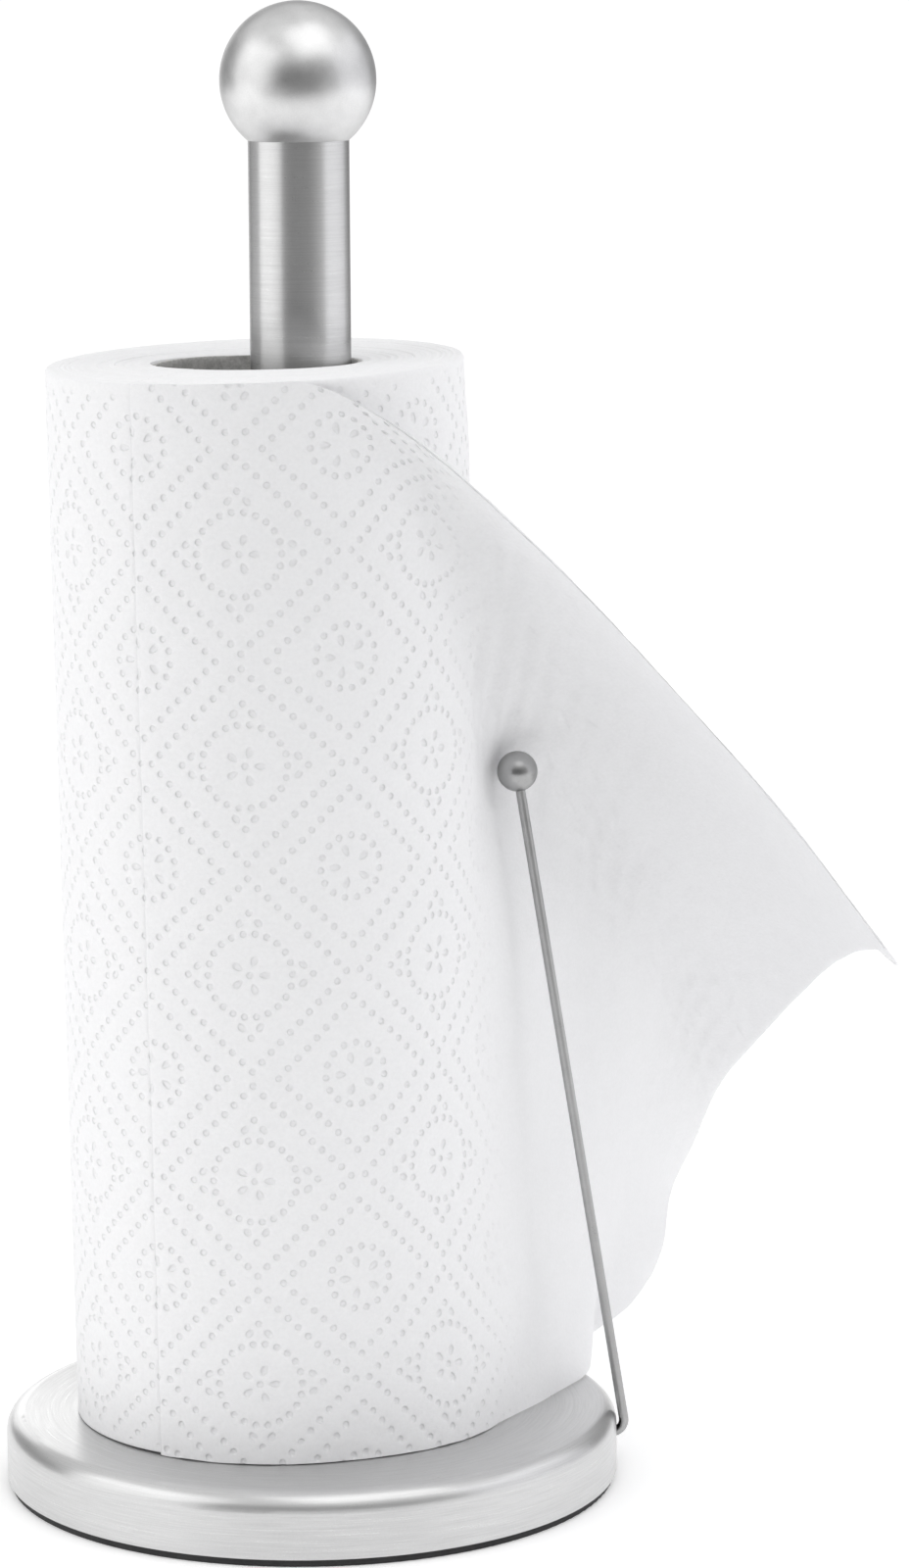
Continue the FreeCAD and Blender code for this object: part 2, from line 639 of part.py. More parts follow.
def peel_angle(share):
    """Angle round the roll where a row leaves it; the arm's ball presses one place in."""
    low = max(0.0, (0.50 - share) / 0.50)
    high = max(0.0, (share - 0.70) / 0.30)
    pressed = math.exp(-((share - 0.615) / 0.11) ** 2)
    return -31.0 - 43.0 * low ** 2 - 49.0 * high ** 2 + 21.0 * pressed


def sheet_point(along, share):
    """Middle of the sheet: along 0 to 1 on the roll and 1 to 2 off it, share 0 to 1 upwards."""
    lean = FreeCAD.Rotation(FreeCAD.Vector(0, 1, 0), -DIMENSIONS["roll_lean"])
    foot = FreeCAD.Vector(DIMENSIONS["roll_offset"], 0, DIMENSIONS["roll_foot"])
    leaves = peel_angle(share)
    turned = PERFORATION_ANGLE + (leaves - PERFORATION_ANGLE) * min(along, 1.0)
    angle = math.radians(turned)
    radius = DIMENSIONS["sheet_radius"]
    level = DIMENSIONS["roll_height"] * share
    ring = FreeCAD.Vector(radius * math.cos(angle), radius * math.sin(angle), level)
    on_roll = foot + lean.multVec(ring)
    if along <= 1.0:
        return on_roll
    tangent = lean.multVec(FreeCAD.Vector(-math.sin(angle), math.cos(angle), 0))
    lead = through([FreeCAD.Vector(number, 0, 0) for number in ROW_LEADS], share).x
    second = on_roll + tangent * lead
    elbow = through([FreeCAD.Vector(*point) for point in ROW_ELBOWS], share)
    end = through([FreeCAD.Vector(*point) for point in ROW_ENDS], share)
    way = along - 1.0
    rest = 1.0 - way
    return (on_roll * rest ** 3 + second * (3 * rest ** 2 * way)
            + elbow * (3 * rest * way ** 2) + end * way ** 3)


def sheet_normal(along, share):
    """Unit vector square to the sheet, pointing away from the roll."""
    step = 0.004
    low, high = max(along - step, 0.0), min(along + step, 2.0)
    across = sheet_point(high, share) - sheet_point(low, share)
    low, high = max(share - step, 0.0), min(share + step, 1.0)
    upward = sheet_point(along, high) - sheet_point(along, low)
    return across.cross(upward).normalize()


def make_loose_sheet():
    half = DIMENSIONS["sheet_thick"] / 2
    on_roll = [step / 8 for step in range(8)]
    off_roll = [1 + step / 14 for step in range(15)]
    skins = []
    for side in (half, -half):
        grid = []
        for along in on_roll + off_roll:
            column = []
            for step in range(17):
                share = step / 16
                column.append(sheet_point(along, share) + sheet_normal(along, share) * side)
            grid.append(column)
        skin = Part.BSplineSurface()
        skin.interpolate(grid)
        skins.append(skin)
    outer, inner = skins
    faces = [outer.toShape(), inner.toShape()]
    low_u, high_u, low_v, high_v = outer.bounds()
    for rims in ([skin.uIso(low_u) for skin in skins], [skin.uIso(high_u) for skin in skins],
                 [skin.vIso(low_v) for skin in skins], [skin.vIso(high_v) for skin in skins]):
        faces.append(rims[0].makeRuledSurface(rims[1]).toShape())
    shell = Part.makeShell(faces)
    shell.sewShape()
    solid = Part.Solid(shell)
    if solid.Volume < 0:
        solid.reverse()
    paper = document.addObject("Part::Feature", "loose_sheet")
    paper.Shape = solid
    paper.Placement = FreeCAD.Placement()
    finish_part(paper, "loose_sheet")


def check_everything():
    """Stop if any object failed, or if a sub-part has no sound shape."""
    for item in document.Objects:
        if "Invalid" in item.State or "Error" in item.State:
            raise RuntimeError("%s is not sound: %s" % (item.Label, item.State))
    for item in PARTS:
        if item.Shape.isNull() or not item.Shape.isValid() or item.Shape.Volume <= 0:
            raise RuntimeError(item.Label + " has no sound shape")


make_pad()
make_bottom_plate()
make_ballast()
make_cover()
make_screws()
make_post()
make_rod()
make_finial()
make_bracket()
make_pin()
make_spring()
make_hub()
make_wire()
make_arm_ball()
make_roll()
make_loose_sheet()
document.recompute()
check_everything()

os.makedirs("parts", exist_ok=True)
for item in PARTS:
    item.Shape.exportStep("parts/%s.step" % item.Label)
    print("%-16s %12.1f mm3" % (item.Label, item.Shape.Volume))
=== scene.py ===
"""Looks of the paper towel holder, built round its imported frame. Metres, +Z up, user at -Y."""
import json
import math

import bpy
import numpy as np
from mathutils import Matrix, Vector


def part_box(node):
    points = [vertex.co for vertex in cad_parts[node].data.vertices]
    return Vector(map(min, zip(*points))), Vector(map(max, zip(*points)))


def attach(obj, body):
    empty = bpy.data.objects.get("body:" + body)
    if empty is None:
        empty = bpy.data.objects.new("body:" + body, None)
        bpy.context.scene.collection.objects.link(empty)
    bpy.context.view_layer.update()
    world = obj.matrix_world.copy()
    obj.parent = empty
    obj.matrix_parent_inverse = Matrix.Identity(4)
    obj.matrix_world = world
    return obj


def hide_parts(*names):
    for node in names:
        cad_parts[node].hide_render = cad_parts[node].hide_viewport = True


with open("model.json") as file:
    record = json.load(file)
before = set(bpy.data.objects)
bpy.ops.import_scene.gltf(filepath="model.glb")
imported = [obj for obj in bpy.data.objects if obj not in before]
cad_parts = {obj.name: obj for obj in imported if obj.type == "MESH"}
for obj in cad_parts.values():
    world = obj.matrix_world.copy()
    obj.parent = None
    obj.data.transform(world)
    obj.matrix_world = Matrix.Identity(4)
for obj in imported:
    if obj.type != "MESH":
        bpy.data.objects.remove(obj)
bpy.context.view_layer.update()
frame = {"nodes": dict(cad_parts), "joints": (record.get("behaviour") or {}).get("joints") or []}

MM = 0.001


def half_width(node):
    """Half of a CAD node's extent along Y."""
    low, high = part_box(node)
    return (high.y - low.y) / 2


BASE_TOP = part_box("base_cover")[1].z
BASE_CLEARANCE = 0.20 * MM

# Kitchen roll: its axis is the joint that it turns on, and its radii are its solids' own
ROLL_JOINT = [joint for joint in frame["joints"] if joint["name"] == "roll_spin"][0]
ROLL_FOOT = np.array(ROLL_JOINT["pos_m"])
ROLL_AXIS = np.array(Vector(ROLL_JOINT["axis"]).normalized())
ROLL_ACROSS = np.array([ROLL_AXIS[2], 0.0, -ROLL_AXIS[0]])
ROLL_BACKWARDS = np.array([0.0, 1.0, 0.0])
ROLL_RADIUS = half_width("paper_roll")
CORE_OUTSIDE = half_width("roll_core")
CORE_WALL = 1.0 * MM
CORE_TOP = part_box("roll_core")[1].z
ROLL_HEIGHT = (CORE_TOP - ROLL_FOOT[2] - CORE_OUTSIDE * abs(ROLL_AXIS[0])) / ROLL_AXIS[2]
SHEET_RADIUS = ROLL_RADIUS + 0.55 * MM

# Loose sheet, in the same terms as its solid: it starts at its perforation on the roll, follows the
# roll, leaves it and hangs free. Lead, elbow and end shape each crosswise row at five levels.
PERFORATION_ANGLE = -123.5
ROW_LEADS = np.array([38.0, 32.0, 30.0, 20.0, 25.0]) * MM
ROW_ELBOWS = np.array([(62, -22, 19.5), (72, 44, 60), (84, 70, 120),
                       (98, 30, 168), (94, -20, 208)]) * MM
ROW_ENDS = np.array([(94, 126, 17.5), (102, 150, 39), (114.5, 120, 76),
                     (135, 60, 115.5), (151, 10, 129)]) * MM
ROW_STEPS = 500

# Degrees round the roll where a row leaves it: at mid-height, how much sooner at the bottom and at
# the top, and how much later at the share of the height where the arm's ball presses it on
PEEL_ANGLE = -31.0
PEEL_SOONER_LOW = 43.0
PEEL_SOONER_HIGH = 49.0
PEEL_LATER = 21.0
BALL_SHARE = 0.615

# The flat width runs from the perforation to the torn end
FLAT_WIDTH = 0.269
PLY_THICK = 0.12 * MM
LAP_START = math.radians(PERFORATION_ANGLE + 90) * SHEET_RADIUS

# Metres along a row: the part with a fine mesh, and where the embossing fades out, sooner near the
# top of the sheet
FINE_LENGTH = 0.092
FADE_START = 0.080
FADE_SOONER = 0.024
FADE_LENGTH = 0.042

# The two plies, in mm: finest and coarsest mesh step, lift off the sheet's middle surface, and how
# far the ply sinks from there behind the embossing. Only the front ply is embossed itself, so away
# from the roll its mesh keeps one row in row_step.
FRONT_PLY = {"embossed": True, "fine": 0.5, "coarse": 1.6, "lift": 0.24, "sunk": 0.0, "row_step": 3}
REAR_PLY = {"embossed": False, "fine": 2.0, "coarse": 2.5, "lift": 0.06, "sunk": 0.27, "row_step": 1}

# Embossing: two flowers take turns on a centred square lattice, each inside a diamond of dots.
# A diamond is the distance to its corners and its count of dots a side. A ring is its count of
# dots, radius, first angle in degrees, stretch of each dot and the dot's twist in radians.
# A dot's pit has steep sides down to a flat floor, and a soft dip lies round it.
PATTERN_PERIOD = 51.2 * MM
PATTERN_START = -3.9 * MM
PATTERN_LEVEL = 173.1 * MM
DOT_RADIUS = 0.78 * MM
DOT_DEPTH = 0.30 * MM
DOT_STEEPNESS = 1.15
DOT_FLOOR = 1.5
DIP_STEEPNESS = 0.2
FLOWERS = (
    {"shift": 0.0, "diamond": (23.8 * MM, 10),
     "rings": ((1, 0.0, 0, 1.0, 0.0), (5, 3.6 * MM, 0, 1.6, 0.0), (22, 10.3 * MM, 0, 1.0, 0.0),
               (4, 15.4 * MM, 0, 1.0, 0.0), (4, 13.1 * MM, 10, 1.35, -0.85),
               (4, 13.1 * MM, -10, 1.35, 0.85))},
    {"shift": 0.5, "diamond": (19.3 * MM, 8),
     "rings": ((5, 4.1 * MM, 180, 1.7, 0.0), (15, 7.75 * MM, 16, 1.0, 0.0))},
)

# Wound roll: a lap's step outwards on the cut ends, how much nearer the core the outer lap starts
# than it ends, the roundings of both rims, and how far the bottom hangs below the roll's foot
LAP_STEP = 0.38 * MM
LAP_RISE = 0.20 * MM
TOP_RIM = 1.4 * MM
BOTTOM_RIM = 0.35 * MM
BOTTOM_HANG = 0.24 * MM

# Studio: each light's name, place, target, width and height in metres, radiance and colour
WHITE = (1.0, 1.0, 1.0)
STAND_MIDDLE = (0.0, 0.0, 0.20)
LIGHTS = (
    ("key", (-1.25, -0.45, 0.75), STAND_MIDDLE, 1.75, 1.5, 0.77, WHITE),
    ("fill", (1.40, 0.10, 0.60), STAND_MIDDLE, 1.9, 1.6, 0.46, (0.98, 0.98, 1.03)),
    ("rear", (-0.50, 1.60, 0.50), STAND_MIDDLE, 0.8, 0.7, 0.90, WHITE),
    ("overhead", (0.33, -0.48, 1.42), (0.0, 0.0, 0.30), 1.2, 1.1, 0.80, WHITE),
)
# Brightness of the room, by direction from behind the camera at 0 to behind the part at 1, then
# overhead, between which steepnesses it takes over, and as the camera itself sees the room
ROOM_TONES = ((0.05, 0.16), (0.24, 0.48), (0.56, 0.50), (0.72, 0.36), (0.95, 0.36), (0.98, 0.80))
CEILING_TONE = 0.84
CEILING_RISE = (0.30, 0.65)
BACKDROP_TONE = 1.05
# Floor: its near edge, its reach to the back and the sides, its glow near the part and far away, and
# the distances from the part between which the glow grows
FLOOR_NEAR = -0.8
FLOOR_REACH = 2.4
FLOOR_GLOW = 0.24
FLOOR_FAR_GLOW = 0.50
FLOOR_GLOW_GROWS = (0.25, 1.4)

# Camera: turns in radians, place in metres, lens and sensor in millimetres
CAMERA_YAW = 0.01108
CAMERA_PITCH = 0.16827
CAMERA_ROLL = -0.00584
CAMERA_PLACE = (0.02357, -1.25044, 0.39111)
LENS_LENGTH = 116.05
SENSOR_WIDTH = 36.0


# ---------------------------------------------------------------- small helpers

def make_object(name, mesh, body, material):
    """Object of a mesh, in the scene, riding on a body and filling a material slot."""
    piece = bpy.data.objects.new(name, mesh)
    bpy.context.scene.collection.objects.link(piece)
    mesh.materials.append(material)
    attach(piece, body)
    return piece


def mesh_of(name, points, faces, sharp_angle=60):
    """Smooth-shaded mesh, creased where it turns by more than an angle in degrees."""
    mesh = bpy.data.meshes.new(name)
    mesh.from_pydata([tuple(point) for point in points], [], faces)
    mesh.update()
    mesh.shade_smooth()
    mesh.set_sharp_from_angle(angle=math.radians(sharp_angle))
    return mesh


def lay_pattern(mesh, u, v, strength, round_length=None):
    """Write each vertex's paper coordinates to a UV map, and how strongly it is embossed.
    On a closed roll, a face that crosses the start of the lap keeps its corners together."""
    corner_vertex = np.empty(len(mesh.loops), int)
    mesh.loops.foreach_get("vertex_index", corner_vertex)
    corner_u = u[corner_vertex]
    if round_length is not None:
        first = np.empty(len(mesh.polygons), int)
        count = np.empty(len(mesh.polygons), int)
        mesh.polygons.foreach_get("loop_start", first)
        mesh.polygons.foreach_get("loop_total", count)
        away = corner_u - np.repeat(corner_u[first], count)
        corner_u = corner_u - round_length * np.round(away / round_length)
    layer = mesh.uv_layers.new(name="paper")
    layer.data.foreach_set("uv", np.stack([corner_u, v[corner_vertex]], axis=1).ravel())
    mesh.attributes.new("embossing", "FLOAT", "POINT").data.foreach_set("value", strength)


def skin_of(rings):
    """Points and faces of a skin round an axis: each ring joins the next, and the last the first."""
    count = len(rings)
    columns = len(rings[0])
    points = np.stack(rings).transpose(1, 0, 2).reshape(-1, 3)
    starts = [(column * count, (column + 1) % columns * count) for column in range(columns)]
    faces = []
    for here, after in starts:
        for ring in range(count - 1):
            faces.append((here + ring, after + ring, after + ring + 1, here + ring + 1))
    for here, after in starts:
        faces.append((here + count - 1, after + count - 1, after, here))
    return points, faces


def smooth_step(low, high, value):
    """From 0 at low to 1 at high, easing in and out."""
    share = np.clip((value - low) / (high - low), 0.0, 1.0)
    return share * share * (3 - 2 * share)


def hump(value, centre, width):
    """Bell curve of height 1."""
    return np.exp(-((value - centre) / width) ** 2)


def waves(seed, count, *coordinates, lengths=(0.02, 0.09)):
    """Smooth noise between about -1 and 1: a sum of sines in random directions."""
    random = np.random.default_rng(seed)
    total = np.zeros(np.broadcast(*coordinates).shape)
    for _ in range(count):
        direction = random.normal(size=len(coordinates))
        direction /= np.linalg.norm(direction)
        length = random.uniform(*lengths)
        phase = random.uniform(0, 2 * math.pi)
        travel = sum(part * axis for part, axis in zip(direction, coordinates))
        total = total + np.sin(2 * math.pi * travel / length + phase)
    return total / math.sqrt(count)


def on_roll(radius, angle, level):
    """Points at a radius, an angle in degrees and a level up the leaning roll."""
    turn = np.radians(angle)
    across = (radius * np.cos(turn))[..., None] * ROLL_ACROSS
    along = (radius * np.sin(turn))[..., None] * ROLL_BACKWARDS
    return ROLL_FOOT + across + along + np.asarray(level)[..., None] * ROLL_AXIS


def rim_rise(turns):
    """How far the roll's top rim stands above its height: highest at the back and to the right."""
    return (0.75 + 0.68 * np.cos(turns) + 1.15 * np.sin(turns)) * MM


def paper_place(u, v):
    """Paper coordinates, moved a little here and there as real embossing is."""
    return (u + 0.10 * MM * waves(61, 6, u, v, lengths=(0.02, 0.06)),
            v + 0.10 * MM * waves(62, 6, u, v, lengths=(0.02, 0.06)))


# ---------------------------------------------------------------- embossed pattern

class Term:
    """Arithmetic on a shader socket, so that one formula serves both mesh points and materials."""

    def __init__(self, tree, socket):
        self.tree = tree
        self.socket = socket

    def through(self, operation, *others):
        """What a Math node makes of this term and others, which may be plain numbers."""
        given = [other.socket if isinstance(other, Term) else other for other in others]
        made = add(self.tree, "Math", dict(enumerate([self.socket, *given])), operation=operation)
        return Term(self.tree, made.outputs[0])

    def __add__(self, other):
        return self.through("ADD", other)

    def __sub__(self, other):
        return self.through("SUBTRACT", other)

    def __mul__(self, other):
        return self.through("MULTIPLY", other)

    def __truediv__(self, other):
        return self.through("DIVIDE", other)


def worked(operation, numbers_way, first, *others):
    """A function of a shader term, through its Math node, or of an array of numbers."""
    if isinstance(first, Term):
        return first.through(operation, *others)
    return numbers_way(first, *others)


def size_of(value):
    return worked("ABSOLUTE", np.abs, value)


def smaller(first, second):
    return worked("MINIMUM", np.minimum, first, second)


def larger(first, second):
    return worked("MAXIMUM", np.maximum, first, second)


def length_of(x, y):
    return worked("SQRT", np.sqrt, x * x + y * y)


def wrapped(value, half):
    """The value brought between -half and half by whole turns of twice half."""
    def in_numbers(given, high, low):
        return (given - low) % (high - low) + low

    return worked("WRAP", in_numbers, value, half, -half)


def diamond_reach(x, y, corner, steps):
    """Squared distance, in dot radii, to the nearest dot on a diamond with that corner. Both
    lengths run on the diagonal, so they are the square root of 2 times too long."""
    spacing = 2 * corner / steps
    outwards = size_of(x) + size_of(y) - corner
    along = wrapped(size_of(size_of(x) - size_of(y)) - corner, spacing / 2)
    return (outwards * outwards + along * along) / (2 * DOT_RADIUS ** 2)


def ring_reach(x, y, count, radius, first, stretch, twist):
    """Squared distance, in dot radii, to the nearest dot on a ring, each dot stretched and twisted."""
    away = length_of(x, y) - radius
    turn = worked("ARCTAN2", np.arctan2, y, x) - math.radians(first)
    round_it = wrapped(turn, math.pi / count) * radius
    long_way = (away * math.cos(twist) + round_it * math.sin(twist)) / (DOT_RADIUS * stretch)
    short_way = (round_it * math.cos(twist) - away * math.sin(twist)) / DOT_RADIUS
    return long_way * long_way + short_way * short_way


def emboss(u, v, wide=0.22):
    """Depth of the embossing from 0 to 1 at paper coordinates u round the roll and v upwards.
    The wide share of it is a soft dip round each dot."""
    nearest = None
    for flower in FLOWERS:
        x = wrapped(u - (PATTERN_START + flower["shift"] * PATTERN_PERIOD), PATTERN_PERIOD / 2)
        y = wrapped(v - (PATTERN_LEVEL + flower["shift"] * PATTERN_PERIOD), PATTERN_PERIOD / 2)
        found = [diamond_reach(x, y, *flower["diamond"])]
        found += [ring_reach(x, y, *ring) for ring in flower["rings"]]
        for reach in found:
            nearest = reach if nearest is None else smaller(nearest, reach)
    pit = larger(smaller(nearest * -DOT_STEEPNESS + DOT_FLOOR, 1.0), 0.0)
    dip = worked("EXPONENT", np.exp, nearest * -DIP_STEEPNESS)
    return pit * (1 - wide) + dip * wide


# ---------------------------------------------------------------- loose sheet

def curve_through(points, share):
    """Smooth curve through evenly spaced points, at shares from 0 to 1 of the way."""
    spans = len(points) - 1
    span = np.minimum((share * spans).astype(int), spans - 1)
    local = share * spans - span
    padded = np.concatenate([[points[0] * 2 - points[1]], points, [points[-1] * 2 - points[-2]]])
    before, start, end, after = (padded[span + step] for step in range(4))
    if points.ndim > 1:
        local = local[..., None]
    square = local ** 2
    cube = local ** 3
    slope_in = (end - before) / 2
    slope_out = (after - start) / 2
    return (start * (2 * cube - 3 * square + 1) + slope_in * (cube - 2 * square + local)
            + end * (3 * square - 2 * cube) + slope_out * (cube - square))


def peel_angle(share):
    """Angle round the roll, in degrees, where a row leaves it. The lowest and highest rows leave
    early, and the arm's ball presses the sheet on to the roll further round at its own level."""
    low = np.maximum(0.0, (0.50 - share) / 0.50)
    high = np.maximum(0.0, (share - 0.70) / 0.30)
    return (PEEL_ANGLE - PEEL_SOONER_LOW * low ** 2 - PEEL_SOONER_HIGH * high ** 2
            + PEEL_LATER * hump(share, BALL_SHARE, 0.11))


def sheet_rows(shares):
    """The sheet's middle surface, row by row: for each share up the sheet, points along its row."""
    along = np.linspace(0.0, 2.0, ROW_STEPS)
    share, along = np.meshgrid(shares, along, indexing="ij")
    leaves = peel_angle(share)
    angle = PERFORATION_ANGLE + (leaves - PERFORATION_ANGLE) * np.minimum(along, 1.0)
    level = ROLL_HEIGHT * share
    start = on_roll(np.full(share.shape, SHEET_RADIUS), angle, level)
    turn = np.radians(angle)[..., None]
    tangent = -np.sin(turn) * ROLL_ACROSS + np.cos(turn) * ROLL_BACKWARDS
    second = start + tangent * curve_through(ROW_LEADS, share)[..., None]
    elbow = curve_through(ROW_ELBOWS, share)
    end = curve_through(ROW_ENDS, share)
    way = np.clip(along - 1.0, 0.0, 1.0)[..., None]
    rest = 1.0 - way
    rows = (start * rest ** 3 + second * (3 * rest ** 2 * way)
            + elbow * (3 * rest * way ** 2) + end * way ** 3)
    return rows + loose_folds(share, way[..., 0])


def loose_folds(share, way):
    """Small free-hanging folds of the loose part, away from where the roll and the arm hold it."""
    low_fold = 3.6 * hump(way, 0.70, 0.055) - 4.6 * hump(way, 0.82, 0.06) - 2.5 * hump(way, 0.50, 0.09)
    low_fold = low_fold * hump(share, 0.0, 0.12)
    free = smooth_step(0.25, 0.75, way)
    ripple = 1.3 * waves(11, 6, way * 0.18, share * 0.26, lengths=(0.05, 0.16)) * free
    shift = np.zeros(way.shape + (3,))
    shift[..., 0] = low_fold + ripple * 0.8
    shift[..., 1] = -ripple * 0.6
    return shift * MM


def ply_points(shares, distances, ends):
    """Points of the sheet's middle surface at distances along each row, each row cut at its end."""
    rows = sheet_rows(shares)
    steps = np.linalg.norm(np.diff(rows, axis=1), axis=2)
    travelled = np.concatenate([np.zeros((len(shares), 1)), np.cumsum(steps, axis=1)], axis=1)
    points = np.empty((len(shares), len(distances), 3))
    u = np.empty((len(shares), len(distances)))
    for row, (way, length) in enumerate(zip(rows, travelled)):
        wanted = distances / distances[-1] * (length[-1] + ends[row])
        beyond = np.maximum(wanted - length[-1], 0.0)[:, None]
        tip = way[-1] - way[-8]
        heading = tip / np.linalg.norm(tip)
        for axis in range(3):
            points[row, :, axis] = np.interp(wanted, length, way[:, axis])
        points[row] += heading * beyond
        u[row] = wanted
    return points, u


def normals_of(points):
    """Unit normals of a grid of rows, pointing away from the roll."""
    upwards = np.gradient(points, axis=0)
    onwards = np.gradient(points, axis=1)
    normals = np.cross(onwards, upwards)
    return normals / np.linalg.norm(normals, axis=2, keepdims=True)


def spaced(fine, coarse):
    """Distances along a flat row: fine steps first, then steps that grow to the coarse one."""
    distances = list(np.arange(0.0, FINE_LENGTH, fine))
    step = fine
    while distances[-1] < FLAT_WIDTH:
        distances.append(distances[-1] + step)
        step = min(step * 1.06, coarse)
    return np.array(distances) * FLAT_WIDTH / distances[-1]


def every(count, step):
    """Each step-th number below a count, and the last one."""
    return list(range(0, count - 1, step)) + [count - 1]


def closed_sheet(name, front, back, fine_columns, row_step, back_step=2):
    """Closed thin mesh. The front keeps every row in its fine columns and every row_step-th row after
    them; the back is a coarser grid, and the rim joins the two. Also gives the front's mask."""
    rows, columns = front.shape[:2]
    kept_rows = every(rows, row_step)
    back_rows = kept_rows[::back_step]
    back_columns = every(columns, row_step * back_step)
    if back_rows[-1] != rows - 1:
        back_rows.append(rows - 1)
    mask = np.zeros((rows, columns), bool)
    mask[:, :fine_columns] = True
    mask[kept_rows] = True
    number = np.full((rows, columns), -1)
    number[mask] = np.arange(mask.sum())
    behind = mask.sum() + np.arange(len(back_rows) * len(back_columns)).reshape(len(back_rows), -1)
    points = np.concatenate([front[mask], back[np.ix_(back_rows, back_columns)].reshape(-1, 3)])

    def present(row_range, column_range):
        """Numbers of the front's vertices that are kept on a stretch of its rim."""
        return [int(number[row, column]) for row in row_range
                for column in column_range if mask[row, column]]

    faces = []
    for low in range(rows - 1):
        for column in range(fine_columns - 1):
            faces.append((number[low, column], number[low, column + 1],
                          number[low + 1, column + 1], number[low + 1, column]))
    for low, high in zip(kept_rows, kept_rows[1:]):
        for column in range(fine_columns - 1, columns - 1):
            left = present(range(high, low - 1, -1), [column])
            faces.append(left + [number[low, column + 1], number[high, column + 1]])
    for row in range(len(back_rows) - 1):
        for column in range(len(back_columns) - 1):
            faces.append((behind[row, column], behind[row + 1, column],
                          behind[row + 1, column + 1], behind[row, column + 1]))
    for row, low, high in zip(range(rows), back_rows, back_rows[1:]):
        start = present(range(low, high + 1), [0])
        faces.append(start + [behind[row + 1, 0], behind[row, 0]])
        end = present(range(high, low - 1, -1), [columns - 1])
        faces.append(end + [behind[row, -1], behind[row + 1, -1]])
    for column, left, right in zip(range(columns), back_columns, back_columns[1:]):
        bottom = present([0], range(right, left - 1, -1))
        faces.append(bottom + [behind[0, column], behind[0, column + 1]])
        top = present([rows - 1], range(left, right + 1))
        faces.append(top + [behind[-1, column + 1], behind[-1, column]])
    return mesh_of(name, points, [[int(corner) for corner in face] for face in faces]), mask


def torn(share, seed):
    """Small teeth that the perforation leaves along the torn end."""
    level = share * ROLL_HEIGHT
    tooth = 4.2 * MM
    teeth = np.abs(((level / tooth) % 1.0) - 0.5) * 2
    return 0.12 * MM * (teeth ** 3) + 0.06 * MM * waves(seed, 6, level, lengths=(0.012, 0.05))


def front_ends(share):
    """How far past the sheet's end the front ply's rows run: the upper ones stop short of it."""
    return torn(share, 21) - 6.5 * MM * smooth_step(0.68, 0.96, share)


def rear_ends(share):
    """Just short of the front ply, but for a tail left at the upper corner."""
    tail = smooth_step(0.978, 0.990, share)
    short = (1.2 + 6.5 * smooth_step(0.68, 0.96, share)) * (1 - tail) + 0.4 * tail
    return torn(share, 22) - short * MM


def rear_top(u):
    """How far the rear ply's top edge stands above the front ply's."""
    return (1.4 * hump(u, 0.105, 0.035) + 1.1 * hump(u, 0.215, 0.02)
            + 0.8 * smooth_step(0.24, 0.26, u)) * MM


def settle_edges(points, normals, u, v):
    """Fit the sheet's bottom edge to the base and its top edge to the roll's rim, in place. Gives
    the raggedness of both edges."""
    ragged = (0.13 * waves(7, 9, u, lengths=(0.002, 0.02)) + 0.10) * MM
    out = np.hypot(points[0, :, 0], points[0, :, 1])
    over_base = smooth_step(77 * MM, 72 * MM, out)
    slipped = (points[0, :, 2] - BASE_TOP - BASE_CLEARANCE) * over_base - 0.5 * ragged[0]
    points[..., 2] -= smooth_step(14 * MM, 0.0, v) * slipped
    held = 1 - smooth_step(0.075, 0.115, u)
    risen = rim_rise(math.radians(PERFORATION_ANGLE) + u / SHEET_RADIUS)
    points[..., 2] += risen * held * smooth_step(ROLL_HEIGHT - 30 * MM, ROLL_HEIGHT, v)
    hugging = 0.06 * MM * held * smooth_step(ROLL_HEIGHT - 1.6 * MM, ROLL_HEIGHT, v)
    points -= normals * hugging[..., None]
    return ragged


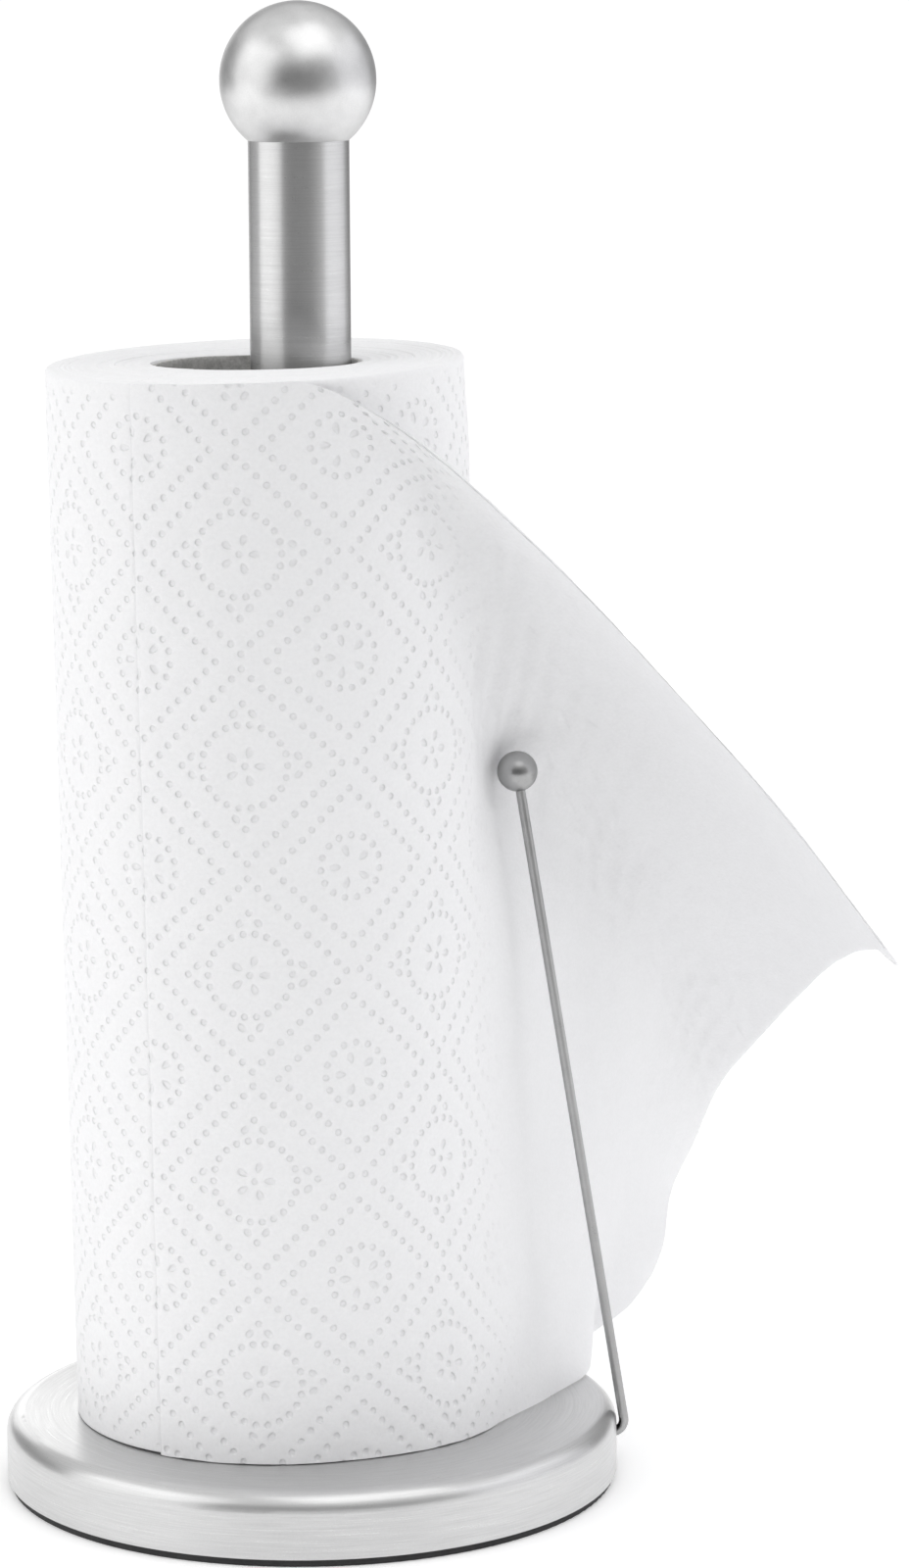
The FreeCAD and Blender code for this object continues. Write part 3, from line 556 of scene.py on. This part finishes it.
def make_ply(name, ply, ends, material):
    """One ply of the loose sheet as a closed thin mesh, with its rows cut at their ends."""
    fine = ply["fine"] * MM
    shares = np.linspace(0.0, 1.0, int(ROLL_HEIGHT / fine) + 1)
    distances = spaced(fine, ply["coarse"] * MM)
    points, u = ply_points(shares, distances, ends(shares))
    normals = normals_of(points)
    v = shares[:, None] * ROLL_HEIGHT + 0 * u
    paper_u, paper_v = paper_place(u + LAP_START, v)

    fade = FADE_START - FADE_SOONER * smooth_step(0.62, 1.0, shares)[:, None]
    embossed = 1 - smooth_step(fade, fade + FADE_LENGTH, u)
    strength = float(ply["embossed"]) * embossed
    pressed = emboss(paper_u, paper_v) * strength * DOT_DEPTH
    # The sheet starts flush with the lap before it, and is pressed in along the perforation
    start_dip = 0.16 * MM * (1 - smooth_step(0.0, 30 * MM, u)) + 0.10 * MM * hump(u, 0.0, 0.5 * MM)
    crepe = 0.03 * MM * waves(5, 10, u, v, lengths=(0.003, 0.012))
    lift = (ply["lift"] - ply["sunk"] * embossed) * MM
    points = points + normals * (lift - pressed - start_dip + crepe)[..., None]

    ragged = settle_edges(points, normals, u, v)
    along_edge = points[-1] - points[-2]
    along_edge /= np.linalg.norm(along_edge, axis=1)[:, None]
    top = smooth_step(ROLL_HEIGHT - 3 * MM, ROLL_HEIGHT, v)[..., None]
    over_top = 0.0 if ply["embossed"] else rear_top(u)
    points += top * (over_top + 0.4 * ragged)[..., None] * along_edge
    back = points - normals * (PLY_THICK + DOT_DEPTH * strength - pressed)[..., None]

    fine_columns = int(np.searchsorted(distances, FINE_LENGTH)) if ply["embossed"] else 1
    mesh, mask = closed_sheet(name, points, back, fine_columns, ply["row_step"])
    plain_back = np.zeros(len(mesh.vertices) - mask.sum())
    printed = [np.append(values[mask], plain_back) for values in (paper_u, paper_v, strength)]
    lay_pattern(mesh, *printed)
    return make_object(name, mesh, "stand", material)


def make_loose_sheet(paper):
    """Both plies of the loose sheet, in place of its solid."""
    front = make_ply("loose_sheet_front_ply", FRONT_PLY, front_ends, paper)
    rear = make_ply("loose_sheet_rear_ply", REAR_PLY, rear_ends, paper)
    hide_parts("loose_sheet")


# ---------------------------------------------------------------- wound roll and its core

def make_wound_roll(paper):
    """The wound laps: embossed outside, spiral of paper edges on both ends, open to the core."""
    columns = 400
    angle = PERFORATION_ANGLE + np.linspace(0.0, 360.0, columns, endpoint=False)
    turns = np.radians(angle)
    share_round = ((angle - PERFORATION_ANGLE) % 360.0) / 360.0
    round_length = 2 * math.pi * ROLL_RADIUS
    bore = CORE_OUTSIDE + 0.1 * MM
    rings, places, strengths = [], [], []

    def lap_radius(level):
        """Radius of the outer lap. The roll is drawn in a little at its upper right."""
        soft = 0.03 * MM * waves(31, 7, ROLL_RADIUS * np.cos(turns), ROLL_RADIUS * np.sin(turns), level,
                                 lengths=(0.05, 0.16))
        to_right = smooth_step(-0.2, 0.9, np.cos(turns))
        pulled_in = 0.9 * MM * to_right * smooth_step(ROLL_HEIGHT - 26 * MM, ROLL_HEIGHT, level)
        return ROLL_RADIUS - 0.17 * MM - LAP_RISE * (1 - share_round) + soft - pulled_in

    def lap_place(level):
        """Paper coordinates round the outer lap at a level."""
        return paper_place(LAP_START - (1 - share_round) * round_length, level)

    def add_ring(radius, height, place=None, strength=0.0):
        """One ring of points. Its place on the paper is at its height, unless another is given."""
        height = np.broadcast_to(height, angle.shape)
        rings.append(on_roll(np.broadcast_to(radius, angle.shape), angle, height))
        places.append(lap_place(height) if place is None else place)
        strengths.append(np.full(columns, strength))

    def top_level(radius):
        """Levels of the wound edges' top face, dished a little between the core and the rim."""
        out = (radius - bore) / (ROLL_RADIUS - bore)
        at_core = (0.30 - 0.15 * np.cos(turns) - 0.30 * np.sin(turns)) * MM
        return ROLL_HEIGHT + at_core * (1 - out) + rim_rise(turns) * out

    def stand_of(radius, seed):
        """How far each lap's edge stands out, the same all along a lap of the spiral."""
        laps = 200
        winding = radius / LAP_STEP - share_round
        whole = np.floor(winding).astype(int)
        part = winding % 1.0
        heights = np.random.default_rng(seed).normal(0, 0.13 * MM, laps)
        return heights[whole % laps] * (1 - part) + heights[(whole + 1) % laps] * part

    end_radii = np.arange(bore + 0.25 * MM, ROLL_RADIUS - 0.9 * TOP_RIM, 0.33 * MM)
    for radius in end_radii:
        add_ring(radius, np.maximum(0.5 * stand_of(radius, 42), -BOTTOM_HANG))
    for turn in np.linspace(0.0, math.pi / 2, 5):
        level = BOTTOM_RIM * (1 - math.cos(turn)) - BOTTOM_HANG
        add_ring(lap_radius(level) - BOTTOM_RIM * (1 - math.sin(turn)), level)

    low = BOTTOM_RIM - BOTTOM_HANG
    top_rim = top_level(ROLL_RADIUS)
    start_dip = 0.08 * MM * hump(share_round - np.round(share_round), 0.0, 0.0015)
    edge_share = 0.012
    for share in np.linspace(0.0, 1.0, 300)[1:-1]:
        height = low + (top_rim - TOP_RIM - low) * share
        level = low + (ROLL_HEIGHT - TOP_RIM - low) * share
        strength = min(share, 1 - share, edge_share) / edge_share
        place = lap_place(level)
        dip = emboss(*place) * DOT_DEPTH * strength
        add_ring(lap_radius(level) - dip - start_dip, height, place, strength)

    for turn in np.linspace(0.0, math.pi / 2, 7):
        level = top_rim - TOP_RIM * (1 - math.sin(turn))
        add_ring(lap_radius(ROLL_HEIGHT) - 0.6 * TOP_RIM * (1 - math.cos(turn)), level)
    for radius in end_radii[::-1]:
        if radius < ROLL_RADIUS - 1.8 * TOP_RIM:
            add_ring(radius, top_level(radius) + stand_of(radius, 41))
    for level in np.linspace(ROLL_HEIGHT - 0.2 * MM, 0.3 * MM, 12):
        add_ring(bore, level)

    mesh = mesh_of("paper_roll_laps", *skin_of(rings))
    u, v = np.array(places).transpose(1, 2, 0)
    lay_pattern(mesh, u.ravel(), v.ravel(), np.array(strengths).T.ravel(), round_length)
    roll = make_object("paper_roll_laps", mesh, "roll", paper)
    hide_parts("paper_roll")


def make_core(card):
    """Spiral-wound board tube, with the seam of its winding inside and a soft cut edge."""
    columns = 180
    levels = 220
    angle = np.linspace(-180.0, 180.0, columns, endpoint=False)
    inside = CORE_OUTSIDE - CORE_WALL
    edge = 0.25 * MM
    seam_rise = 78 * MM
    cut = 0.12 * MM * waves(51, 6, angle / 360.0, lengths=(0.06, 0.5))
    top = ROLL_HEIGHT - 0.12 * MM + cut
    bottom = np.full(columns, 0.02 * MM)
    outer_edge = np.full(columns, CORE_OUTSIDE - edge)
    inner_edge = np.full(columns, inside + edge)

    def seam(level, depth):
        """Depth of the seam round the tube at a level."""
        away = (level / seam_rise - angle / 360.0) % 1.0
        return depth * hump(np.minimum(away, 1 - away) * seam_rise, 0.0, 0.7 * MM)

    rings = []
    for level in np.linspace(edge, ROLL_HEIGHT - edge, levels):
        rings.append(on_roll(CORE_OUTSIDE - seam(level, 0.05 * MM), angle, np.full(columns, level)))
    rings.append(on_roll(outer_edge, angle, top))
    rings.append(on_roll(inner_edge, angle, top))
    for level in np.linspace(ROLL_HEIGHT - edge, edge, levels):
        rings.append(on_roll(inside + seam(level, 0.10 * MM), angle, np.full(columns, level)))
    rings.append(on_roll(inner_edge, angle, bottom))
    rings.append(on_roll(outer_edge, angle, bottom))
    mesh = mesh_of("roll_core_board", *skin_of(rings))
    core = make_object("roll_core_board", mesh, "roll", card)
    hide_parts("roll_core")


# ---------------------------------------------------------------- materials

def add(tree, kind, inputs=None, **settings):
    """Shader node with its settings, and inputs that are either numbers or other nodes' sockets."""
    made = tree.nodes.new("ShaderNode" + kind)
    for key, setting in settings.items():
        setattr(made, key, setting)
    for key, given in (inputs or {}).items():
        if isinstance(given, bpy.types.NodeSocket):
            tree.links.new(given, made.inputs[key])
        else:
            made.inputs[key].default_value = given
    return made


def new_material(name, **inputs):
    """Material with one Principled shader, whose sockets are set by name."""
    material = bpy.data.materials.new(name)
    material.use_nodes = True
    tree = material.node_tree
    tree.nodes.clear()
    by_socket = {key.replace("_", " "): given for key, given in inputs.items()}
    shader = add(tree, "BsdfPrincipled", by_socket)
    add(tree, "OutputMaterial", {"Surface": shader.outputs[0]})
    return material, tree, shader


def feed(tree, shader, name, socket):
    """Let a socket drive one of the shader's inputs."""
    tree.links.new(socket, shader.inputs[name])


def noise(tree, vector, scale, detail=3.0, roughness=0.5):
    """Factor of a noise texture, mostly between 0.3 and 0.7."""
    given = {"Vector": vector, "Scale": scale, "Detail": detail, "Roughness": roughness}
    return add(tree, "TexNoise", given).outputs["Fac"]


def ramp(tree, factor, low, high, from_low=0.3, from_high=0.7):
    """A factor from from_low to from_high, stretched to run from low to high."""
    made = add(tree, "MapRange", {"Value": factor, "From Min": from_low, "From Max": from_high,
                                  "To Min": low, "To Max": high})
    return made.outputs[0]


def tint(tree, factor, dark, light):
    """Colour between dark at 0 and light at 1. Sockets 6, 7 and 2 are the Mix node's colours."""
    made = add(tree, "Mix", data_type="RGBA")
    tree.links.new(factor, made.inputs["Factor"])
    made.inputs[6].default_value = (*dark, 1.0)
    made.inputs[7].default_value = (*light, 1.0)
    return made.outputs[2]


def bump(tree, shader, height, distance, strength=1.0, normal=None):
    """Bump on the shader's normal, on top of an earlier bump's normal when that is given."""
    made = add(tree, "Bump", {"Height": height, "Distance": distance, "Strength": strength})
    if normal is not None:
        tree.links.new(normal, made.inputs["Normal"])
    tree.links.new(made.outputs[0], shader.inputs["Normal"])
    return made.outputs[0]


def place(tree):
    """Object coordinates, which are the part's own metres on every piece, and their three parts."""
    where = add(tree, "TexCoord").outputs["Object"]
    parts = add(tree, "SeparateXYZ", {0: where})
    return where, *(Term(tree, parts.outputs[axis]) for axis in range(3))


def turned_steel(name, colour, roughness=0.30, edge=1.0):
    """Satin steel brushed round the vertical axis; edge is its tint where seen at a grazing angle."""
    material, tree, shader = new_material(name, Metallic=1.0, Anisotropic=0.70,
                                          Anisotropic_Rotation=0.25)
    shader.inputs["Specular Tint"].default_value = (edge, edge, edge, 1.0)
    where, x, y, z = place(tree)
    meridian = length_of(x, y) - z
    strokes = []
    for fineness, length in ((3200.0, 70.0), (1500.0, 40.0)):
        vector = add(tree, "CombineXYZ", {0: (x * length).socket, 1: (y * length).socket,
                                          2: (meridian * fineness).socket})
        strokes.append(Term(tree, noise(tree, vector.outputs[0], 1.0, 4.0, 0.65)))
    speckle = Term(tree, noise(tree, where, 4200.0, 3.0, 0.6))
    grained = (strokes[0] * 0.45 + strokes[1] * 0.25 + speckle * 0.30).socket
    dark, light = ((colour * share,) * 3 for share in (0.86, 1.14))
    feed(tree, shader, "Base Color", tint(tree, ramp(tree, grained, 0.0, 1.0), dark, light))
    feed(tree, shader, "Roughness", ramp(tree, grained, roughness + 0.07, roughness - 0.06))
    tangent = add(tree, "Tangent", direction_type="RADIAL", axis="Z")
    feed(tree, shader, "Tangent", tangent.outputs[0])
    bump(tree, shader, grained, 0.04 * MM, 0.5)
    return material


def satin_steel(name, colour, roughness, edge=0.7, tone=WHITE):
    """Evenly satined metal with a fine grain and a little cloudiness."""
    material, tree, shader = new_material(name, Metallic=1.0)
    shader.inputs["Specular Tint"].default_value = (edge, edge, edge, 1.0)
    where, *_ = place(tree)
    fine = Term(tree, noise(tree, where, 5200.0, 4.0, 0.6))
    broad = Term(tree, noise(tree, where, 180.0, 3.0))
    mixed = (fine * 0.6 + broad * 0.4).socket
    dark, light = (tuple(colour * share * part for part in tone) for share in (0.86, 1.14))
    feed(tree, shader, "Base Color", tint(tree, ramp(tree, mixed, 0.0, 1.0), dark, light))
    feed(tree, shader, "Roughness", ramp(tree, mixed, roughness - 0.04, roughness + 0.06))
    bump(tree, shader, fine.socket, 0.025 * MM, 0.4)
    return material


def grained_solid(name, dark, light, roughness, scale, depth, metallic=0.0):
    """Plain matt or cast surface with a fine grain."""
    material, tree, shader = new_material(name, Metallic=metallic)
    where, *_ = place(tree)
    fine = noise(tree, where, scale, 5.0, 0.6)
    broad = noise(tree, where, scale / 12, 2.0)
    feed(tree, shader, "Base Color", tint(tree, ramp(tree, broad, 0.0, 1.0), dark, light))
    feed(tree, shader, "Roughness", ramp(tree, fine, roughness - 0.06, roughness + 0.06))
    bump(tree, shader, fine, depth, 0.8)
    return material


def tissue():
    """Soft white tissue: matt, slightly see-through, with fibres, creping and crisp embossed dots.
    The pits of the embossed dots and the line of the perforation are darkened in the colour as painted
    shade."""
    material, tree, shader = new_material("tissue_paper", Roughness=0.92, Subsurface_Weight=0.14,
                                          Subsurface_Scale=0.0008, Sheen_Weight=0.10,
                                          Sheen_Roughness=0.6)
    shader.inputs["Specular IOR Level"].default_value = 0.15
    shader.inputs["Subsurface Radius"].default_value = (1.0, 0.98, 0.96)
    where, *_ = place(tree)
    on_paper = add(tree, "SeparateXYZ", {0: add(tree, "UVMap", uv_map="paper").outputs[0]})
    strength = add(tree, "Attribute", attribute_name="embossing").outputs["Fac"]
    u = Term(tree, on_paper.outputs[0])
    v = Term(tree, on_paper.outputs[1])
    pits = emboss(u, v, wide=0.05) * Term(tree, strength)
    cloud = Term(tree, noise(tree, where, 160.0, 3.0, 0.55))
    grain = Term(tree, noise(tree, where, 1100.0, 3.0, 0.6))
    # Painted shadow: the colour is darkened along a line 0.35 mm wide each side of the perforation
    perforation = larger(size_of(u - LAP_START) * (-1 / (0.35 * MM)) + 1.0, 0.0)
    # Painted shade: the colour is darkened in proportion to the depth of the embossed pits
    shade = (cloud - 0.5) * 0.3 + (grain - 0.5) * 0.9 + 0.78 - pits * 0.30 - perforation * 0.9
    white = tint(tree, shade.socket, (0.84, 0.84, 0.85), (0.955, 0.955, 0.965))
    feed(tree, shader, "Base Color", white)
    stretched = add(tree, "Mapping", {"Vector": where, "Scale": (700.0, 700.0, 1700.0)}).outputs[0]
    crepe = noise(tree, stretched, 1.0, 3.0, 0.6)
    fibres = noise(tree, where, 1300.0, 4.0, 0.7)
    soft = bump(tree, shader, (pits * -1.0).socket, 0.26 * MM, 1.0)
    soft = bump(tree, shader, crepe, 0.10 * MM, 0.6, soft)
    bump(tree, shader, fibres, 0.10 * MM, 0.6, soft)
    return material


def core_board():
    """Grey recycled board with flecks and broad darker patches."""
    material, tree, shader = new_material("core_board", Roughness=0.9)
    where, *_ = place(tree)
    flecks = Term(tree, noise(tree, where, 900.0, 5.0, 0.7))
    broad = Term(tree, noise(tree, where, 70.0, 2.0))
    mixed = (flecks * 0.6 + broad * 0.4).socket
    patchy = ramp(tree, mixed, 0.0, 1.0, 0.38, 0.62)
    grey = tint(tree, patchy, (0.36, 0.355, 0.345), (0.62, 0.615, 0.60))
    feed(tree, shader, "Base Color", grey)
    bump(tree, shader, flecks.socket, 0.06 * MM, 0.7)
    return material


def paint_frame():
    """Give every CAD node that stays its material."""
    looks = (
        (turned_steel("brushed_base", 0.64), ["base_cover"]),
        (turned_steel("brushed_tube", 0.63, edge=0.5), ["post_tube"]),
        (satin_steel("satin_ball", 0.69, 0.35, edge=0.62), ["finial_ball"]),
        (satin_steel("satin_wire", 0.41, 0.30), ["arm_wire", "arm_ball"]),
        (satin_steel("zinc_plated", 0.52, 0.34, tone=(0.96, 0.98, 1.03)),
         ["base_screws", "bracket_screws", "tie_rod", "rod_nut", "rod_washer", "finial_boss",
          "arm_bracket", "arm_pin", "arm_hub"]),
        (satin_steel("spring_steel", 0.37, 0.30), ["arm_spring", "pin_clip"]),
        (grained_solid("pad_rubber", (0.018, 0.018, 0.019), (0.030, 0.030, 0.031), 0.72, 1800.0,
                       0.05 * MM), ["non_slip_pad"]),
        (grained_solid("plate_coat", (0.035, 0.035, 0.037), (0.055, 0.055, 0.057), 0.5, 1200.0,
                       0.03 * MM), ["bottom_plate"]),
        (grained_solid("cast_ballast", (0.10, 0.10, 0.105), (0.17, 0.17, 0.175), 0.62, 600.0,
                       0.2 * MM, metallic=1.0), ["ballast_disc"]),
        (grained_solid("plug_plastic", (0.05, 0.05, 0.052), (0.07, 0.07, 0.072), 0.5, 900.0,
                       0.03 * MM), ["post_foot_plug", "post_top_plug"]),
    )
    for material, names in looks:
        for name in names:
            mesh = frame["nodes"][name].data
            mesh.materials.clear()
            mesh.materials.append(material)


# ---------------------------------------------------------------- studio

def white_paper():
    """Plain studio white that also glows a little, and more far away, where it runs into the room."""
    material, tree, shader = new_material("studio_white", Roughness=0.85)
    where, x, y, _ = place(tree)
    away = length_of(x, y).socket
    clean = tint(tree, noise(tree, where, 3.0), (0.90, 0.90, 0.90), (0.93, 0.93, 0.93))
    feed(tree, shader, "Base Color", clean)
    glow = ramp(tree, away, FLOOR_GLOW, FLOOR_FAR_GLOW, *FLOOR_GLOW_GROWS)
    feed(tree, shader, "Emission Strength", glow)
    shader.inputs["Emission Color"].default_value = (1, 1, 1, 1)
    return material


def make_floor():
    """Flat pale floor, which runs out into the white of the room."""
    points = [(side * FLOOR_REACH, y, 0.0) for y in (FLOOR_NEAR, FLOOR_REACH) for side in (-1, 1)]
    mesh = mesh_of("studio_floor", points, [(0, 1, 3, 2)])
    mesh.materials.append(white_paper())
    floor = bpy.data.objects.new("studio_floor", mesh)
    bpy.context.scene.collection.objects.link(floor)


def soft_light(name, location, target, width, height, radiance, colour):
    """Area light of a given brightness, facing its target and unseen by the camera."""
    data = bpy.data.lights.new(name, "AREA")
    data.color = colour
    data.shape = "RECTANGLE"
    data.size = width
    data.size_y = height
    data.energy = radiance * width * height * math.pi
    lamp = bpy.data.objects.new(name, data)
    bpy.context.scene.collection.objects.link(lamp)
    lamp.location = location
    lamp.rotation_euler = (Vector(target) - Vector(location)).to_track_quat("-Z", "Y").to_euler()
    lamp.visible_camera = False


def make_studio():
    """Soft boxes at the left, right, rear and overhead, in a pale room that is darker behind the
    camera. The camera itself sees plain white."""
    for settings in LIGHTS:
        soft_light(*settings)
    world = bpy.data.worlds.new("studio")
    bpy.context.scene.world = world
    world.use_nodes = True
    tree = world.node_tree
    tree.nodes.clear()
    direction = add(tree, "SeparateXYZ", {0: add(tree, "TexCoord").outputs["Generated"]})
    room = add(tree, "ValToRGB", {0: ramp(tree, direction.outputs[1], 0.0, 1.0, -1.0, 1.0)})
    stops = room.color_ramp.elements
    for position, brightness in ROOM_TONES:
        stop = stops.new(position)
        stop.color = (brightness, brightness, brightness, 1.0)
    stops.remove(stops[0])
    stops.remove(stops[-1])
    high = ramp(tree, direction.outputs[2], 0.0, 1.0, *CEILING_RISE)
    ceiling = (CEILING_TONE, CEILING_TONE, CEILING_TONE, 1.0)
    light = add(tree, "Mix", {"Factor": high, 6: room.outputs[0], 7: ceiling}, data_type="RGBA")
    ambient = add(tree, "Background", {"Color": light.outputs[2], "Strength": 1.0})
    pale = add(tree, "Background", {"Color": (1.0, 1.0, 1.0, 1.0), "Strength": BACKDROP_TONE})
    ray = add(tree, "LightPath").outputs["Is Camera Ray"]
    mixed = add(tree, "MixShader", {0: ray, 1: ambient.outputs[0], 2: pale.outputs[0]})
    add(tree, "OutputWorld", {"Surface": mixed.outputs[0]})


def make_camera():
    """Camera at the photographed angle: a long lens a little above the roll, looking slightly down."""
    forward = Vector((math.sin(CAMERA_YAW) * math.cos(CAMERA_PITCH),
                      math.cos(CAMERA_YAW) * math.cos(CAMERA_PITCH), -math.sin(CAMERA_PITCH)))
    level = Vector((math.cos(CAMERA_YAW), -math.sin(CAMERA_YAW), 0.0))
    upright = level.cross(forward)
    right = level * math.cos(CAMERA_ROLL) + upright * math.sin(CAMERA_ROLL)
    up = right.cross(forward)
    data = bpy.data.cameras.new("camera")
    data.sensor_width = SENSOR_WIDTH
    data.lens = LENS_LENGTH
    data.clip_start = 0.05
    camera = bpy.data.objects.new("camera", data)
    bpy.context.scene.collection.objects.link(camera)
    axes = Matrix((right, up, -forward)).transposed()
    camera.matrix_world = Matrix.Translation(CAMERA_PLACE) @ axes.to_4x4()
    bpy.context.scene.camera = camera


make_camera()
paint_frame()
paper = tissue()
make_wound_roll(paper)
make_core(core_board())
make_loose_sheet(paper)
make_floor()
make_studio()
bpy.context.scene.view_settings.view_transform = "Standard"
